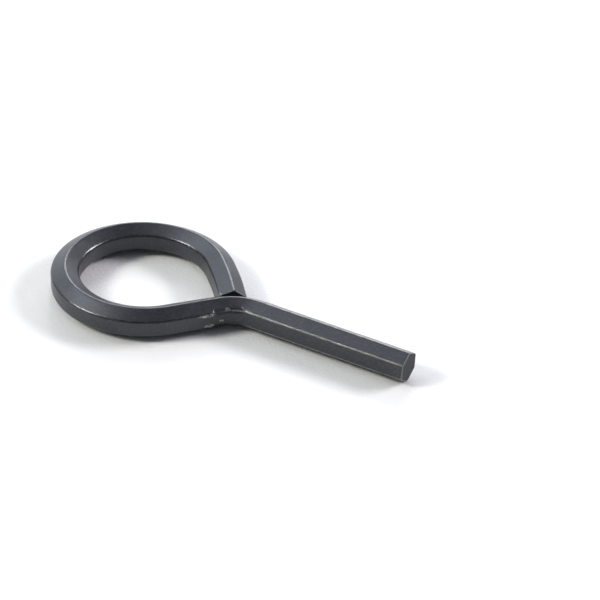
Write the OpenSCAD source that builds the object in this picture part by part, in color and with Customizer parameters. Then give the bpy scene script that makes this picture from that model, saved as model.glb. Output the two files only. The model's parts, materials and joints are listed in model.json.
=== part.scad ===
// Radiator bleed key with a finger eye.
// One length of hexagonal bar is bent cold into a shank, a neck and a nearly closed eye.
// The bar's sawn end stops just short of the neck. The shank's tip is the working hexagon.
// Frame: the origin is the centre of the tip's end face and +X points out of the tip.
// The key lies flat in the XY plane, with one corner of the bar up and one down.

/* [Bar] */
// Size across the flats, which is the size of the socket that the key turns
bar_af = 5; // [4:0.5:6]
// Size across the rounded corners, as a multiple of the size across the flats
corner_ratio = 1.12; // [1.06:0.01:1.15]

/* [Eye] */
// Inner diameter of the eye
eye_id = 22.6; // [20:0.2:26]
// Gap between the sawn end and the neck
end_gap = 0.1; // [0.1:0.1:1]
// Angle by which the sawn end is out of square, so that it lies along the neck's side
end_lean = 8; // [0:1:12]

/* [Shank] */
// Distance along the shank from the tip back to the eye's centre
reach = 52; // [44:1:80]
// Sideways distance from the shank's axis to the eye's centre
eye_offset = 0.6; // [0:0.1:1]
// Radius of the neck's bend, at the middle of the bar
neck_r = 7.7; // [6:0.1:9]

/* [Hidden] */

round_fn = 96;
wedge_r = 100;
flat_y = bar_af / 2;
corner_z = flat_y / cos(30);
eye_r = (eye_id + bar_af) / 2;

// The legs' slope to the shank. Its cosine and sine are exact in six decimals,
// so the bends' end faces meet the legs exactly.
slope_cos = 0.658944;
slope_sin = 0.752192;
slope = atan2(slope_sin, slope_cos);

near_leg_len = (eye_offset + eye_r * slope_cos - neck_r * (1 - slope_cos)) / slope_sin;
shank_len = reach - (eye_r + neck_r) * slope_sin - near_leg_len * slope_cos;

// From the eye's centre: the middle of the neck's bend, and the point where the far leg starts
neck_centre = [reach - shank_len, eye_offset - neck_r];
far_start = eye_r * [slope_sin, slope_cos];

// The far leg stops where its sawn face is end_gap from the neck's side
end_normal = [cos(slope + end_lean), -sin(slope + end_lean)];
stop_r = neck_r + flat_y + end_gap;
far_leg_len = ((neck_centre - far_start) * end_normal - stop_r) / cos(end_lean);

// The bar's outline, with a flat on each side and a corner up and down
module bar_section() {
    intersection() {
        polygon([
            [flat_y, corner_z / 2],
            [0, corner_z],
            [-flat_y, corner_z / 2],
            [-flat_y, -corner_z / 2],
            [0, -corner_z],
            [flat_y, -corner_z / 2]
        ]);
        circle(d = bar_af * corner_ratio, $fn = round_fn);
    }
}

// A straight length of bar that runs from the origin along -X
module straight_bar(length) {
    rotate([90, 0, -90]) linear_extrude(length) bar_section();
}

// A whole ring of bar about the Z axis
module bar_ring(radius) {
    rotate_extrude($fn = round_fn) translate([radius, 0]) bar_section();
}

// The neck's bend, about its own centre
module neck() {
    intersection() {
        bar_ring(neck_r);
        linear_extrude(bar_af * 2, center = true) polygon([
            [0, 0],
            [0, wedge_r],
            [-wedge_r * slope_sin, wedge_r],
            [-wedge_r * slope_sin, wedge_r * slope_cos]
        ]);
    }
}

// The round part of the eye, about its own centre
module eye() {
    difference() {
        bar_ring(eye_r);
        linear_extrude(bar_af * 2, center = true) polygon([
            [0, 0],
            [wedge_r * slope_sin, -wedge_r * slope_cos],
            [wedge_r * slope_sin, wedge_r * slope_cos]
        ]);
    }
}

// The straight end of the bar that closes the eye, with its sawn end leaning to the neck's side
module far_leg() {
    rotate(90 - slope) translate([eye_r, 0, 0]) rotate(90) difference() {
        straight_bar(far_leg_len + bar_af);
        translate([-far_leg_len, 0, 0]) rotate(-end_lean) translate([-bar_af, 0, 0])
            cube(bar_af * 2, center = true);
    }
}

module eye_and_far_leg() {
    eye();
    far_leg();
}

// The bar from its tip back: shank, neck, near leg, eye and far leg, each in the frame of the one before
module key_bar() {
    color("#3a3c42") {
        straight_bar(shank_len);
        translate([-shank_len, -neck_r, 0]) {
            neck();
            rotate(slope) translate([0, neck_r, 0]) {
                straight_bar(near_leg_len);
                translate([-near_leg_len, eye_r, 0]) rotate(-slope) eye_and_far_leg();
            }
        }
    }
}

key_bar();
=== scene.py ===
"""Looks of the radiator bleed key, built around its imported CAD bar.

The bar is swept as one mesh along the same centre line as the CAD bar: shank, neck, near leg, eye, far leg.
All lengths are in metres and all angles in radians, unless a name says otherwise.
"""

import json
import math

import bmesh
import bpy
from mathutils import Matrix, Vector, noise


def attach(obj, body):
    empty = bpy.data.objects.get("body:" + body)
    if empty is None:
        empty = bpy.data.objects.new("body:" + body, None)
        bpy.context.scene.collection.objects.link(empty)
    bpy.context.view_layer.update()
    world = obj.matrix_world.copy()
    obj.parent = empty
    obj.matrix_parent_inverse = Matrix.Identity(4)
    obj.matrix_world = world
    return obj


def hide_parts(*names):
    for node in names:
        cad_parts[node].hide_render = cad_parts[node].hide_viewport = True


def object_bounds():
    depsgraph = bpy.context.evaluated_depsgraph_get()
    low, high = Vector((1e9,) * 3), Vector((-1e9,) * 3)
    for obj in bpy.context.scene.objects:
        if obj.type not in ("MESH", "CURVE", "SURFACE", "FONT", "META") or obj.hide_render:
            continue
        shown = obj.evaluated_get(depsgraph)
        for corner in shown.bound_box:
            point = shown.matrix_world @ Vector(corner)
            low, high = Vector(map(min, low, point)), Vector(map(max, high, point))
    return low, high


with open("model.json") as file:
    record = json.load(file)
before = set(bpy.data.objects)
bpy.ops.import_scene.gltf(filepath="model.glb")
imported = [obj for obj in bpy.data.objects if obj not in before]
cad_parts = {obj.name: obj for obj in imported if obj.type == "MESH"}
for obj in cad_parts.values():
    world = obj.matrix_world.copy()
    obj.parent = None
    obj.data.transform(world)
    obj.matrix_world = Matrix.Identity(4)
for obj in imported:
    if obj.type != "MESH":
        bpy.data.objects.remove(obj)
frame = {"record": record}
CAD_BOX = [list(corner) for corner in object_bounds()]
MOUNTS = {mount["name"]: mount for mount in frame["record"]["mounts"]}

MM = 0.001

# ---------------------------------------------------------------- driving sizes, as in the CAD
TIP = Vector(MOUNTS["tip_face"]["pos_m"])
EYE = Vector(MOUNTS["eye"]["pos_m"])
ACROSS_FLATS = 5 * MM
EYE_R = MOUNTS["eye"]["dims"]["r_mm"] * MM + ACROSS_FLATS / 2
NECK_R = 7.7 * MM
# The legs' slope to the shank, from its sine and cosine
SLOPE = math.atan2(0.752192, 0.658944)
# The sawn end leans along the neck's side
END_LEAN = math.radians(8)
FLOOR_Z = CAD_BOX[0][2]

# ---------------------------------------------------------------- the bar's section
CORNER_R = 0.62 * MM
CORNER_STEPS = 8
FLAT_STEPS = 10

# ---------------------------------------------------------------- shape that the looks add to the CAD's
# The sawn end slants upward as well. Its lean and slant set in over a length of the bar.
END_SLANT = math.radians(9)
END_CUT_LENGTH = 3 * MM
# Gap to the neck on the bar's centre line. The slant takes the end's upper part about 0.2 mm into the neck.
END_GAP = 0.04 * MM
# The stretched outer side of the neck is thinner, over a length and a half angle of the section
NECK_THINNING = 0.30 * MM
NECK_THINNING_LENGTH = 4 * MM
NECK_THINNING_ANGLE = math.radians(50)
# How far the section is turned about the centre line
SHANK_ROLL = math.radians(2.4)
EYE_ROLL = math.radians(-1.7)
TAIL_ROLL = math.radians(-4.7)
# Distances back from the sawn end between which the section turns to the tail's roll
TAIL_TURN = (24 * MM, 8 * MM)
# The far leg's bulge: height, distance back from the sawn end, and length
TAIL_BOW = 0.25 * MM
TAIL_BOW_PLACE = 5.5 * MM
TAIL_BOW_LENGTH = 4.5 * MM

# ---------------------------------------------------------------- camera
CAMERA_TARGET = TIP + Vector((-25.3, 8.0, 0)) * MM
CAMERA_DISTANCE = 436.5 * MM
CAMERA_HEADING = math.radians(116.93)
CAMERA_ELEVATION = math.radians(33.53)
CAMERA_ROLL = math.radians(3.15)
CAMERA_LENS_MM = 150


def bump(value, middle, width):
    """A smooth hill of height 1 at middle, that falls to a third a width away."""
    return math.exp(-(((value - middle) / width) ** 2))


def smooth_step(value, low, high):
    """Rises smoothly from 0 at low to 1 at high."""
    share = min(max((value - low) / (high - low), 0), 1)
    return share * share * (3 - 2 * share)


class BarPath:
    """The bar's centre line from the tip back to the sawn end, as straight and round stretches."""

    def __init__(self):
        slope_cos = math.cos(SLOPE)
        slope_sin = math.sin(SLOPE)
        reach = TIP.x - EYE.x
        eye_offset = TIP.y - EYE.y
        leg = (eye_offset + EYE_R * slope_cos - NECK_R * (1 - slope_cos)) / slope_sin
        shank = reach - (EYE_R + NECK_R) * slope_sin - leg * slope_cos
        neck_centre = Vector((reach - shank, eye_offset - NECK_R))
        far_start = EYE_R * Vector((slope_sin, slope_cos))
        end_normal = Vector((math.cos(SLOPE + END_LEAN), -math.sin(SLOPE + END_LEAN)))
        stop = NECK_R + ACROSS_FLATS / 2 - NECK_THINNING + END_GAP
        far_leg = ((neck_centre - far_start).dot(end_normal) - stop) / math.cos(END_LEAN)
        # Each stretch is its length and its turn, which is positive to the left and 0 where straight
        self.stretches = [
            (shank, 0),
            (NECK_R * SLOPE, SLOPE),
            (leg, 0),
            (EYE_R * (math.pi + 2 * SLOPE), -(math.pi + 2 * SLOPE)),
            (far_leg, 0),
        ]
        self.neck_start = shank
        self.neck_end = shank + NECK_R * SLOPE
        self.eye_start = self.neck_end + leg
        self.length = sum(length for length, _ in self.stretches)

    def at(self, along):
        """The centre line's point at a distance along the bar from its tip, and its heading from +X."""
        point = Vector((TIP.x, TIP.y, TIP.z))
        heading = math.pi
        left = along
        for length, turn in self.stretches:
            step = min(left, length)
            part = turn * step / length
            if turn:
                chord = 2 * length / abs(turn) * math.sin(abs(part) / 2)
            else:
                chord = step
            direction = heading + part / 2
            point += chord * Vector((math.cos(direction), math.sin(direction), 0))
            heading += part
            left -= step
            if left <= 0:
                break
        point += max(left, 0) * Vector((math.cos(heading), math.sin(heading), 0))
        return point, heading

    def roll(self, along):
        """How far the section is turned about the centre line: over the neck, and towards the sawn end."""
        neck_share = smooth_step(along, self.neck_start, self.eye_start)
        tail_share = smooth_step(along, self.length - TAIL_TURN[0], self.length - TAIL_TURN[1])
        return SHANK_ROLL + (EYE_ROLL - SHANK_ROLL) * neck_share + (TAIL_ROLL - EYE_ROLL) * tail_share

    def bow(self, along):
        """How far the far leg bulges outward, because the bar sprang a little open after the bend."""
        return TAIL_BOW * bump(along, self.length - TAIL_BOW_PLACE, TAIL_BOW_LENGTH)


def section_points():
    """The rounded hexagon as (out, up, normal angle, crest), anticlockwise from the outward flat's end."""
    half_flat = ACROSS_FLATS / 2
    centre_r = (half_flat - CORNER_R) / math.cos(math.pi / 6)
    points = []
    for corner in range(6):
        middle = math.pi / 6 + corner * math.pi / 3
        centre = centre_r * Vector((math.cos(middle), math.sin(middle)))
        for step in range(CORNER_STEPS + 1):
            lean = (step / CORNER_STEPS - 0.5) * math.pi / 3
            angle = middle + lean
            out = centre + CORNER_R * Vector((math.cos(angle), math.sin(angle)))
            points.append((out.x, out.y, angle, math.cos(3 * lean)))
        next_middle = middle + math.pi / 3
        next_centre = centre_r * Vector((math.cos(next_middle), math.sin(next_middle)))
        flat_angle = middle + math.pi / 6
        normal = Vector((math.cos(flat_angle), math.sin(flat_angle)))
        start = centre + CORNER_R * normal
        end = next_centre + CORNER_R * normal
        for step in range(1, FLAT_STEPS):
            out = start.lerp(end, step / FLAT_STEPS)
            points.append((out.x, out.y, flat_angle, 0.0))
    return points


SECTION = section_points()
PATH = BarPath()


def angle_gap(angle, middle):
    """The smallest turn between two angles."""
    return abs((angle - middle + math.pi) % (2 * math.pi) - math.pi)


OUTER_UPPER = math.pi / 6
OUTER_LOWER = -math.pi / 6

# Where the bending tool's jaw pressed the concave side of the neck: from its soft edge to its sharp edge
JAW_SOFT_EDGE = (29.0 * MM, 33.0 * MM)
JAW_SHARP_EDGE = (37.7 * MM, 38.1 * MM)
# The jaw's flats: direction in the section, how far from the bar's centre line they reach
JAW_FLATS = [
    (OUTER_UPPER, 2.50 * MM),
    (OUTER_LOWER, 2.58 * MM),
    (0.0, 2.42 * MM),
]


def jaw_depth(along, out, up):
    """How deep the jaw pressed a point of the section."""
    share = smooth_step(along, *JAW_SOFT_EDGE) * (1 - smooth_step(along, *JAW_SHARP_EDGE))
    depth = 0.0
    for angle, reach in JAW_FLATS:
        proud = out * math.cos(angle) + up * math.sin(angle) - reach
        depth = max(depth, proud)
    return depth * share


# Slow waves over the whole surface, and small chips in the corners' crests
WAVE_LENGTH = 9 * MM
WAVE_HEIGHT = 0.012 * MM
CHIP_LENGTH = 0.8 * MM
CHIP_DEPTH = 0.035 * MM
CHIP_THRESHOLD = 0.15


def surface_shift(along, out, up, angle, crest):
    """How far a point lies off the plain section: waves, chips, the jaw's dents and the neck's thinning."""
    spot = Vector((along / WAVE_LENGTH, math.cos(angle) * 0.8, math.sin(angle) * 0.8))
    wave = WAVE_HEIGHT * noise.noise(spot)
    chip_spot = Vector((along / CHIP_LENGTH, math.cos(angle) * 3, math.sin(angle) * 3 + 7))
    chip = -CHIP_DEPTH * crest * max(0.0, noise.noise(chip_spot) - CHIP_THRESHOLD)
    neck_middle = (PATH.neck_start + PATH.neck_end) / 2
    thinning = NECK_THINNING * bump(along, neck_middle, NECK_THINNING_LENGTH)
    thinning *= bump(angle_gap(angle, math.pi), 0, NECK_THINNING_ANGLE)
    return wave + chip - jaw_depth(along, out, up) - thinning


# How much less the eye's crests are lightened than the shank's, by rubbing and partly by a painted highlight
EYE_CREST_LIGHTENED_LESS = 0.7


def crest_wear_and_highlight_share(along):
    """How strongly the corners' crests are lightened, as rubbed steel and partly as a painted highlight: most
    on the shank, little on the eye.
    """
    return 1 - EYE_CREST_LIGHTENED_LESS * smooth_step(along, PATH.neck_start, PATH.eye_start)


# Where tools scraped the coat off: place along the bar, direction in the section, half length, half turn.
# All are the bending jaw's but the last, which is the saw's.
SCRAPES = [
    (39.2 * MM, math.radians(25), 1.5 * MM, math.radians(7)),
    (38.8 * MM, math.radians(-22), 0.9 * MM, math.radians(7)),
    (35.2 * MM, math.radians(37), 0.6 * MM, math.radians(6)),
    (33.0 * MM, math.radians(33), 1.2 * MM, math.radians(3)),
    (31.6 * MM, math.radians(46), 0.3 * MM, math.radians(3)),
    (36.6 * MM, math.radians(-8), 0.4 * MM, math.radians(7)),
    (PATH.length - 0.3 * MM, math.radians(146), 0.5 * MM, math.radians(7)),
]


def scrape(along, out, up):
    """How much coat the tools scraped off at a place."""
    worn = 0.0
    angle = math.atan2(up, out)
    for place, direction, half_length, half_turn in SCRAPES:
        worn += bump(along, place, half_length) * bump(angle_gap(angle, direction), 0, half_turn)
    return min(worn, 1.0)


# The bevel at both ends, with its rings as shares of it: how far in from the surface, how far along
END_BEVEL = 0.13 * MM
END_RINGS = [(1.0, 0.0), (0.4, 0.22), (0.0, 1.0)]
# How far in from the bevel each ring on an end face lies
CAP_INSETS = [0.04 * MM, 0.5 * MM, 1.1 * MM, 1.7 * MM, 2.2 * MM]
# The longest step between two sections, on the neck and near leg, and elsewhere
NECK_PITCH = 0.22 * MM
PITCH = 0.3 * MM
# Apart from the bevels' rings, no section is set nearer to an end than this
END_CLEARANCE = END_BEVEL * 1.2


def station_places():
    """Distances from the tip at which a section is set, closer together on the neck and the near leg."""
    places = []
    start = 0.0
    for index, (length, _) in enumerate(PATH.stretches):
        pitch = NECK_PITCH if index in (1, 2) else PITCH
        steps = math.ceil(length / pitch)
        places += [start + length * step / steps for step in range(steps)]
        start += length
    places.append(start)
    return [place for place in places if END_CLEARANCE < place < PATH.length - END_CLEARANCE]


def place_point(along, out, up):
    """A point of the section at a place along the bar, in the row frame."""
    tail_share = smooth_step(along, PATH.length - END_CUT_LENGTH, PATH.length)
    along += tail_share * (out * math.tan(END_LEAN) + up * math.tan(END_SLANT))
    point, heading = PATH.at(along)
    roll = PATH.roll(along)
    side = Vector((-math.sin(heading), math.cos(heading), 0))
    turned_out = out * math.cos(roll) - up * math.sin(roll)
    turned_up = out * math.sin(roll) + up * math.cos(roll)
    return point + side * (turned_out + PATH.bow(along)) + Vector((0, 0, turned_up))


# One unit of the bar's UV map
UV_UNIT = 10 * MM


def add_rings(mesh):
    """All rings of points from the tip to the sawn end, as (place along the bar, ring)."""
    crest_wear_and_highlight_layer = mesh.verts.layers.float.new("crest_wear_and_highlight")
    crest_layer = mesh.verts.layers.float.new("crest")
    tool_layer = mesh.verts.layers.float.new("tool_mark")
    end_layer = mesh.verts.layers.float.new("sawn_end")
    rings = []

    def add_outer(along, inset, end_share):
        """One ring, pulled in from the surface by inset. end_share is 0.5 on the tip's bevel, which gets a
        painted highlight, and 0 elsewhere.
        """
        ring = []
        for out, up, angle, crest in SECTION:
            shift = surface_shift(along, out, up, angle, crest) - inset
            shifted_out = out + shift * math.cos(angle)
            shifted_up = up + shift * math.sin(angle)
            vert = mesh.verts.new(place_point(along, shifted_out, shifted_up))
            # Mask of the crests' rubbed steel, which partly stands in for a painted highlight along the
            # ridges
            vert[crest_wear_and_highlight_layer] = crest * crest_wear_and_highlight_share(along)
            vert[crest_layer] = crest
            vert[tool_layer] = scrape(along, out, up)
            vert[end_layer] = end_share
            ring.append(vert)
        rings.append((along, ring))

    def add_inner(along, scale):
        """One ring inside an end face."""
        ring = []
        for out, up, _, _ in SECTION:
            vert = mesh.verts.new(place_point(along, out * scale, up * scale))
            vert[end_layer] = 1.0
            ring.append(vert)
        rings.append((along, ring))

    half = ACROSS_FLATS / 2
    for inset in reversed(CAP_INSETS):
        add_inner(0.0, 1 - (END_BEVEL + inset) / half)
    for inset_share, along_share in END_RINGS:
        add_outer(END_BEVEL * along_share, END_BEVEL * inset_share, 0.5)
    for along in station_places():
        add_outer(along, 0.0, 0.0)
    for inset_share, along_share in reversed(END_RINGS):
        add_outer(PATH.length - END_BEVEL * along_share, END_BEVEL * inset_share, 0.0)
    for inset in CAP_INSETS:
        add_inner(PATH.length, 1 - (END_BEVEL + inset) / half)
    return rings


def distances_around():
    """How far around the section each of its points is from the first, and the whole way round at the end."""
    around = [0.0]
    for index in range(len(SECTION)):
        here = Vector(SECTION[index][:2])
        there = Vector(SECTION[(index + 1) % len(SECTION)][:2])
        around.append(around[-1] + (there - here).length)
    return around


def join_rings(mesh, rings):
    """Faces between neighbouring rings, unrolled in the UV map with U along the bar and V around it."""
    uv_layer = mesh.loops.layers.uv["bar"]
    around = distances_around()
    for (along_a, ring_a), (along_b, ring_b) in zip(rings, rings[1:]):
        for index in range(len(SECTION)):
            after = (index + 1) % len(SECTION)
            face = mesh.faces.new((ring_a[index], ring_b[index], ring_b[after], ring_a[after]))
            places = [
                (along_a, around[index]),
                (along_b, around[index]),
                (along_b, around[index + 1]),
                (along_a, around[index + 1]),
            ]
            for loop, (u, v) in zip(face.loops, places):
                loop[uv_layer].uv = (u / UV_UNIT, v / UV_UNIT)


def close_end(mesh, ring):
    """Fills the innermost ring of an end face."""
    hub = mesh.verts.new(sum((vert.co for vert in ring), Vector()) / len(ring))
    hub[mesh.verts.layers.float["sawn_end"]] = 1.0
    for index in range(len(ring)):
        mesh.faces.new((ring[index], ring[(index + 1) % len(ring)], hub))


def bar_mesh():
    """The whole bar as one closed mesh, with the crests' rubbing and painted highlight, and its places,
    stored on the points.
    """
    mesh = bmesh.new()
    mesh.loops.layers.uv.new("bar")
    rings = add_rings(mesh)
    join_rings(mesh, rings)
    close_end(mesh, rings[0][1])
    close_end(mesh, list(reversed(rings[-1][1])))
    bmesh.ops.recalc_face_normals(mesh, faces=mesh.faces)
    for face in mesh.faces:
        face.smooth = True
    data = bpy.data.meshes.new("key_bar_skin")
    mesh.to_mesh(data)
    mesh.free()
    return data


# ---------------------------------------------------------------- material helpers


class Nodes:
    """Short calls for building one node tree."""

    def __init__(self, tree):
        self.tree = tree
        self.tree.nodes.clear()

    def add(self, kind, inputs=None, **settings):
        """A node of a kind, with its settings and with each input a value or another node's output."""
        node = self.tree.nodes.new(kind)
        for name, value in settings.items():
            setattr(node, name, value)
        for name, value in (inputs or {}).items():
            socket = node.inputs[name]
            if isinstance(value, bpy.types.NodeSocket):
                self.tree.links.new(value, socket)
            else:
                socket.default_value = value
        return node

    def math(self, operation, first, second=0.0, clamp=False):
        node = self.add("ShaderNodeMath", {0: first, 1: second}, operation=operation, use_clamp=clamp)
        return node.outputs[0]

    def ramp(self, value, low, high, low_out=0.0, high_out=1.0):
        """Maps low..high to low_out..high_out smoothly, and holds outside."""
        node = self.add(
            "ShaderNodeMapRange",
            {"Value": value, "From Min": low, "From Max": high, "To Min": low_out, "To Max": high_out},
            interpolation_type="SMOOTHSTEP",
        )
        return node.outputs["Result"]

    def mix(self, share, first, second):
        node = self.add("ShaderNodeMix", {"Factor": share}, data_type="RGBA")
        for socket, value in ((node.inputs[6], first), (node.inputs[7], second)):
            if isinstance(value, bpy.types.NodeSocket):
                self.tree.links.new(value, socket)
            else:
                socket.default_value = (*value, 1.0)
        return node.outputs[2]

    def attribute(self, name):
        return self.add("ShaderNodeAttribute", attribute_name=name).outputs["Fac"]

    def noise(self, vector, scale, detail=2.0, roughness=0.5):
        node = self.add(
            "ShaderNodeTexNoise",
            {"Vector": vector, "Scale": scale, "Detail": detail, "Roughness": roughness},
        )
        return node.outputs["Fac"]

    def stretched(self, vector, scale):
        node = self.add("ShaderNodeMapping", {"Vector": vector, "Scale": scale})
        return node.outputs["Vector"]


def new_material(name):
    material = bpy.data.materials.new(name)
    material.use_nodes = True
    return material


# Colours of the coat: dark and light cloud, lengthwise grain, mottle, specks, and the bare steel under it,
# whose colour also paints a highlight on the crests and the tip's bevel rim
COAT_DARK = (0.0055, 0.006, 0.009)
COAT_LIGHT = (0.010, 0.0105, 0.014)
GRAIN_TINT = (0.040, 0.040, 0.046)
MOTTLE_TINT = (0.042, 0.042, 0.047)
SPECK_TINT = (0.07, 0.07, 0.075)
BARE_STEEL_AND_HIGHLIGHT = (0.42, 0.41, 0.39)
COAT_IOR = 1.64
COAT_SPECULAR_TINT = (0.92, 0.94, 1.0, 1.0)
# Roughness of the flats at the grain's two ends, what the clouds add, and what the crests lose by burnishing
FLAT_ROUGHNESS = (0.28, 0.38)
CLOUD_ROUGHNESS = 0.08
BURNISHING = 0.10
SAWN_ROUGHNESS = 0.5
RELIEF_DEPTH = 0.04 * MM


def oxide_steel():
    """Black oxide over drawn steel: dark satin coat with a lengthwise grain, steel showing where it has worn,
    and steel colour painted as a highlight on the crests and the tip's bevel.
    """
    material = new_material("black_oxide_steel")
    n = Nodes(material.node_tree)
    uv = n.add("ShaderNodeUVMap", uv_map="bar").outputs["UV"]
    place = n.add("ShaderNodeTexCoord").outputs["Object"]
    crest_wear_and_highlight = n.attribute("crest_wear_and_highlight")
    crest = n.attribute("crest")
    tool = n.attribute("tool_mark")
    sawn = n.attribute("sawn_end")

    cloud = n.noise(place, 260, 3.0, 0.6)
    speck = n.noise(place, 5200, 2.0, 0.6)
    grain = n.noise(n.stretched(uv, (1.2, 70, 1)), 3.0, 4.0, 0.65)
    scratch = n.noise(n.stretched(uv, (2.5, 190, 1)), 2.0, 2.0, 0.7)
    patch = n.noise(place, 900, 3.0, 0.6)
    chatter = n.noise(n.stretched(uv, (14, 60, 1)), 1.0, 3.0, 0.6)
    mottle = n.noise(place, 2300, 3.0, 0.65)

    # Bare steel shows where the tool pressed. On the corners' crests, in broken lines, it is worn steel and
    # partly a painted highlight. The tip's bevel rim gets a painted highlight.
    # Crest lines: worn steel, and partly a painted highlight along the ridges
    crest_line_wear_and_highlight = n.math("MULTIPLY", n.ramp(crest_wear_and_highlight, 0.55, 1.0, 0.0, 0.6), n.ramp(patch, 0.30, 0.62, 0.4, 1.0))
    tool_spots = n.math("MULTIPLY", n.ramp(tool, 0.15, 0.7), n.ramp(chatter, 0.45, 0.56))
    # Painted highlight: the tip's bevel rim is lightened all round with steel colour
    painted_rim_highlight = n.math("MULTIPLY", n.ramp(n.math("ABSOLUTE", n.math("SUBTRACT", sawn, 0.5)), 0.25, 0.0), 0.3)
    bare_and_highlight = n.math("MAXIMUM", n.math("MAXIMUM", crest_line_wear_and_highlight, tool_spots), painted_rim_highlight, clamp=True)

    coat = n.mix(n.ramp(cloud, 0.35, 0.7), COAT_DARK, COAT_LIGHT)
    coat = n.mix(n.math("MULTIPLY", n.ramp(grain, 0.5, 0.75), 0.5), coat, GRAIN_TINT)
    coat = n.mix(n.math("MULTIPLY", n.ramp(mottle, 0.48, 0.68), 0.5), coat, MOTTLE_TINT)
    coat = n.mix(n.math("MULTIPLY", n.ramp(speck, 0.66, 0.8), 0.3), coat, SPECK_TINT)
    # The steel colour here is real wear where the tool pressed, and partly painted highlight on the crests
    # and the tip's rim
    colour = n.mix(bare_and_highlight, coat, BARE_STEEL_AND_HIGHLIGHT)

    # The crests are burnished, the flats are satin and the sawn faces are dull
    satin = n.ramp(grain, 0.3, 0.75, *FLAT_ROUGHNESS)
    roughness = n.math("ADD", satin, n.math("MULTIPLY", cloud, CLOUD_ROUGHNESS))
    roughness = n.math("SUBTRACT", roughness, n.math("MULTIPLY", n.ramp(crest, 0.0, 0.6), BURNISHING))
    roughness = n.math("ADD", roughness, n.ramp(sawn, 0.5, 1.0, 0.0, SAWN_ROUGHNESS))
    height = n.math("ADD", n.math("MULTIPLY", grain, 0.5), n.math("MULTIPLY", scratch, 0.35))
    height = n.math("ADD", height, n.math("MULTIPLY", n.math("ADD", speck, mottle), 0.4))
    relief = n.add("ShaderNodeBump", {"Height": height, "Strength": 0.5, "Distance": RELIEF_DEPTH})

    shader = n.add(
        "ShaderNodeBsdfPrincipled",
        {
            "Base Color": colour,
            "Metallic": n.math("MULTIPLY", bare_and_highlight, 0.9),
            "Roughness": roughness,
            "IOR": COAT_IOR,
            "Specular Tint": COAT_SPECULAR_TINT,
            "Normal": relief.outputs["Normal"],
        },
    )
    output = n.add("ShaderNodeOutputMaterial")
    n.tree.links.new(shader.outputs["BSDF"], output.inputs["Surface"])
    return material


FLOOR_TINTS = ((0.695, 0.685, 0.685), (0.72, 0.715, 0.715))
FLOOR_RELIEF = 0.15 * MM
FLOOR_SCATTER = 1.5 * MM


def floor_paint():
    """Plain pale table top with a faint sheen and a fine tooth, which lets a little light through."""
    material = new_material("pale_floor")
    n = Nodes(material.node_tree)
    place = n.add("ShaderNodeTexCoord").outputs["Object"]
    tint = n.mix(n.noise(place, 30, 2.0), *FLOOR_TINTS)
    tooth = n.noise(place, 1500, 3.0, 0.6)
    grain = n.add("ShaderNodeBump", {"Height": tooth, "Strength": 0.8, "Distance": FLOOR_RELIEF})
    shader = n.add(
        "ShaderNodeBsdfPrincipled",
        {
            "Base Color": tint,
            "Roughness": 0.4,
            "IOR": 1.4,
            "Subsurface Weight": 0.8,
            "Subsurface Scale": FLOOR_SCATTER,
            "Subsurface Radius": (1.0, 1.0, 1.0),
            "Normal": grain.outputs["Normal"],
        },
    )
    output = n.add("ShaderNodeOutputMaterial")
    n.tree.links.new(shader.outputs["BSDF"], output.inputs["Surface"])
    return material


def link(name, data):
    piece = bpy.data.objects.new(name, data)
    bpy.context.scene.collection.objects.link(piece)
    return piece


def make_bar():
    bar = link("key_bar_finish", bar_mesh())
    bar.data.materials.append(oxide_steel())
    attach(bar, "root")
    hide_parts("key_bar")


FLOOR_HALF = 1.2


def make_floor():
    mesh = bmesh.new()
    bmesh.ops.create_grid(mesh, x_segments=8, y_segments=8, size=FLOOR_HALF)
    data = bpy.data.meshes.new("floor")
    mesh.to_mesh(data)
    mesh.free()
    floor = link("floor", data)
    floor.location = (EYE.x / 2, 0, FLOOR_Z)
    floor.data.materials.append(floor_paint())


def view_direction(heading, elevation):
    """A unit vector that points along a heading, raised by an elevation."""
    flat = math.cos(elevation)
    return Vector((flat * math.cos(heading), flat * math.sin(heading), math.sin(elevation)))


def make_camera():
    data = bpy.data.cameras.new("camera")
    data.lens = CAMERA_LENS_MM
    data.sensor_width = 36
    data.clip_start = 0.01
    data.clip_end = 10
    camera = link("camera", data)
    forward = view_direction(CAMERA_HEADING, -CAMERA_ELEVATION)
    camera.location = CAMERA_TARGET - forward * CAMERA_DISTANCE
    level = forward.to_track_quat("-Z", "Y").to_matrix()
    turn = Matrix.Rotation(CAMERA_ROLL, 3, "Z")
    camera.rotation_euler = (level @ turn).to_euler()
    bpy.context.scene.camera = camera


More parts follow.
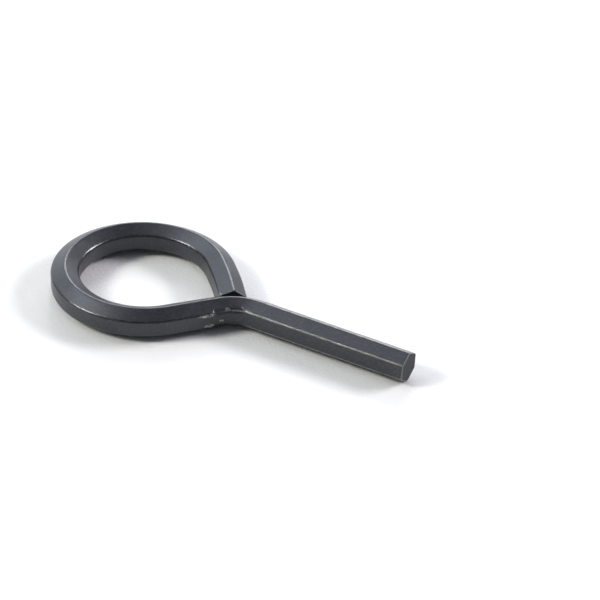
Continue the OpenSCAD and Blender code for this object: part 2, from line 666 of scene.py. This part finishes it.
# Softboxes: name, turn from the camera's heading (positive to the right), elevation, distance, width, height,
# radiance and colour
SOFTBOXES = [
    ("left_softbox", -101, 37, 1.40, 0.34, 0.38, 42.0, (1.0, 1.0, 0.93)),
    ("right_softbox", 72, 29, 1.40, 0.56, 0.36, 34.0, (1.0, 0.97, 1.01)),
    ("back_softbox", 4, 28, 1.50, 0.70, 0.44, 5.0, (0.98, 0.99, 1.0)),
]
# Soft glows of the room: turn from the camera's heading, elevation, half width in degrees, radiance
GLOWS = [
    (-14, 16, 50, 1.1),
    (-42, 22, 22, 0.5),
    (-59, 50, 19, 3.1),
    (-80, 66, 28, 0.6),
]
WORLD_COLOUR = (0.84, 0.91, 1.0, 1.0)
WORLD_STRENGTH = 0.22


def stage_direction(turn, elevation):
    """A unit vector at a turn right of the camera's heading and at an elevation, both in degrees."""
    return view_direction(CAMERA_HEADING - math.radians(turn), math.radians(elevation))


def make_softboxes():
    middle = Vector((EYE.x / 2, 0, 0))
    for name, turn, elevation, distance, width, height, radiance, colour in SOFTBOXES:
        data = bpy.data.lights.new(name, "AREA")
        data.shape = "RECTANGLE"
        data.size = width
        data.size_y = height
        data.energy = radiance * math.pi * width * height
        data.color = colour
        lamp = link(name, data)
        direction = stage_direction(turn, elevation)
        lamp.location = middle + direction * distance
        lamp.rotation_euler = direction.to_track_quat("Z", "Y").to_euler()


def make_world():
    """A dim room with soft glows where its walls and ceiling are bright."""
    world = bpy.data.worlds.new("studio")
    world.use_nodes = True
    n = Nodes(world.node_tree)
    place = n.add("ShaderNodeTexCoord").outputs["Generated"]
    strength = WORLD_STRENGTH
    for turn, elevation, half_width, radiance in GLOWS:
        direction = stage_direction(turn, elevation)
        closeness = n.add("ShaderNodeVectorMath", {0: place, 1: direction}, operation="DOT_PRODUCT")
        edge = math.cos(math.radians(half_width))
        glow = n.ramp(closeness.outputs["Value"], edge, 1.0, 0.0, radiance)
        strength = n.math("ADD", glow, strength)
    backdrop = n.add("ShaderNodeBackground", {"Color": WORLD_COLOUR, "Strength": strength})
    output = n.add("ShaderNodeOutputWorld")
    n.tree.links.new(backdrop.outputs["Background"], output.inputs["Surface"])
    bpy.context.scene.world = world


make_bar()
make_floor()
make_camera()
make_softboxes()
make_world()
bpy.context.scene.view_settings.view_transform = "Standard"
